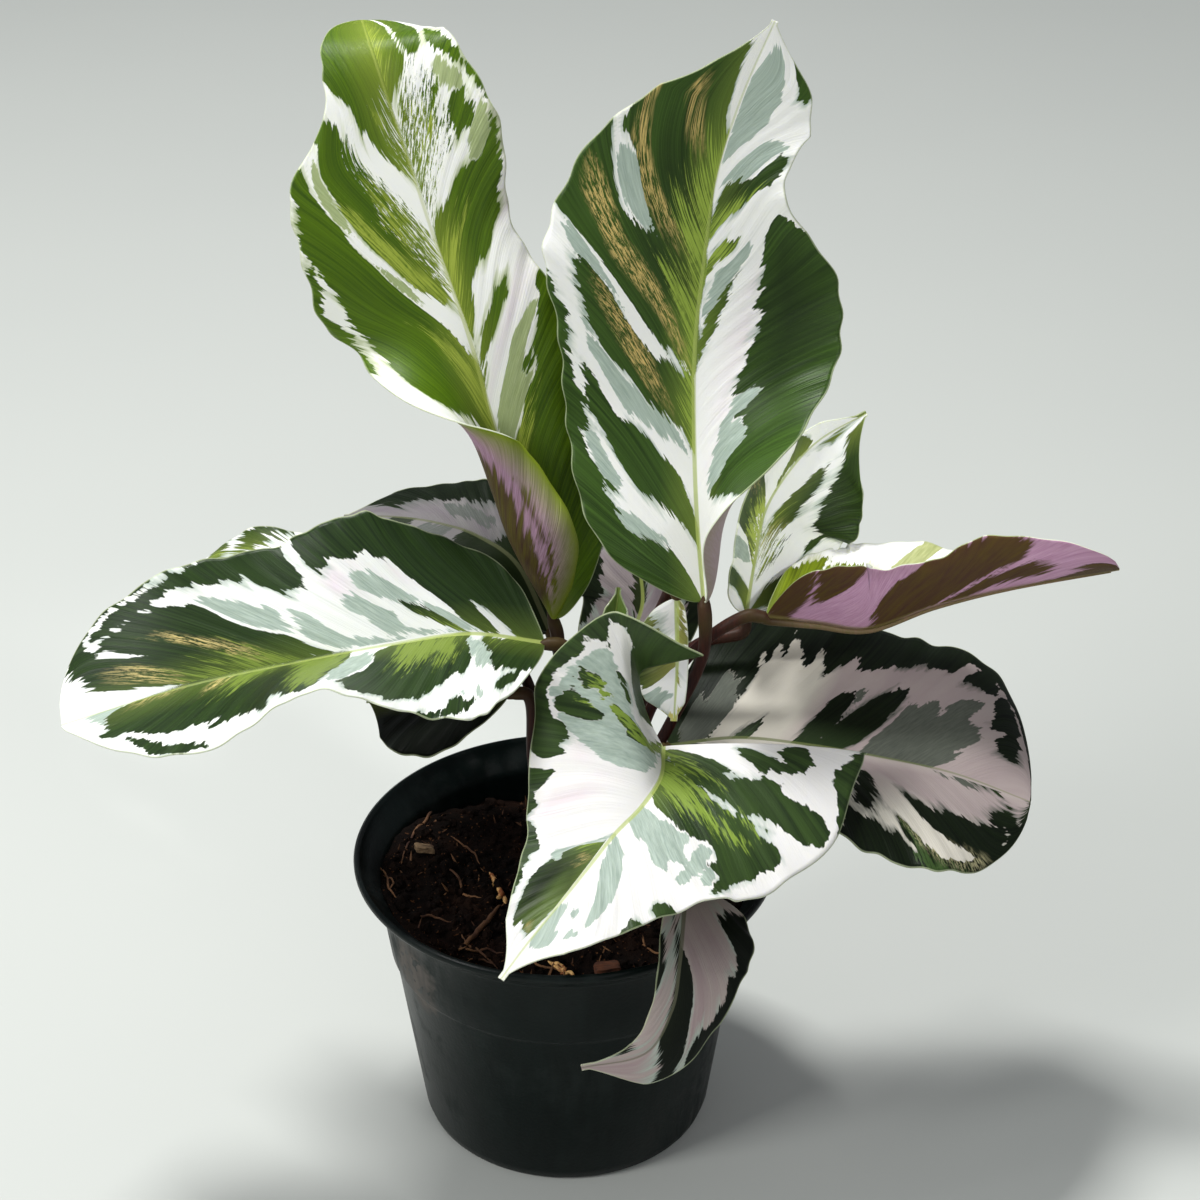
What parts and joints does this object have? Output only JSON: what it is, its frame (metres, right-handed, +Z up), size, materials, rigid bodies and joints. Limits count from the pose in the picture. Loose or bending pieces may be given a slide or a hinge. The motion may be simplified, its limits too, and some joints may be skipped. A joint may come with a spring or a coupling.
{
  "type": "potted stella calathea",
  "caption": "Bushy houseplant with long petioles and broad white-and-green marbled leaves, some curled, growing from soil in a round tapered nursery pot with drain holes.",
  "frame": {"origin": "centre of the pot's underside, on the surface it stands on", "axes": "+Z up along the pot's axis; -Y towards the viewer of the picture; +X to the viewer's right"},
  "size_m": [0.2874, 0.1607, 0.3283],
  "materials": {
    "pot_plastic": "dark green-black, satin, dusty",
    "soil": "loose dark peat with fibres",
    "crown": "rough",
    "bark": "rough",
    "leaf": "satin, green with white and grey marbling, purple underside",
    "petiole": "satin, dark reddish brown"
  },
  "bodies": {
    "root": {"pot": "pot_plastic", "soil": "soil", "root_crown": "crown", "bark_chip_pale": "bark", "bark_chip_brown": "bark", "leaf_upper_left": "leaf", "petiole_upper_left": "petiole", "leaf_upper_right": "leaf", "petiole_upper_right": "petiole", "leaf_left": "leaf", "petiole_left": "petiole", "leaf_back_left": "leaf", "petiole_back_left": "petiole", "leaf_far_left": "leaf", "petiole_far_left": "petiole", "leaf_back_right": "leaf", "petiole_back_right": "petiole", "leaf_right_back": "leaf", "petiole_right_back": "petiole", "leaf_right": "leaf", "petiole_right": "petiole", "leaf_front": "leaf", "petiole_front": "petiole", "leaf_drooping": "leaf", "petiole_drooping": "petiole", "leaf_back_centre": "leaf", "petiole_back_centre": "petiole", "leaf_young": "leaf", "petiole_young": "petiole", "leaf_inner": "leaf", "petiole_inner": "petiole", "leaf_lower_left": "leaf", "petiole_lower_left": "petiole"}
  },
  "joints": []
}
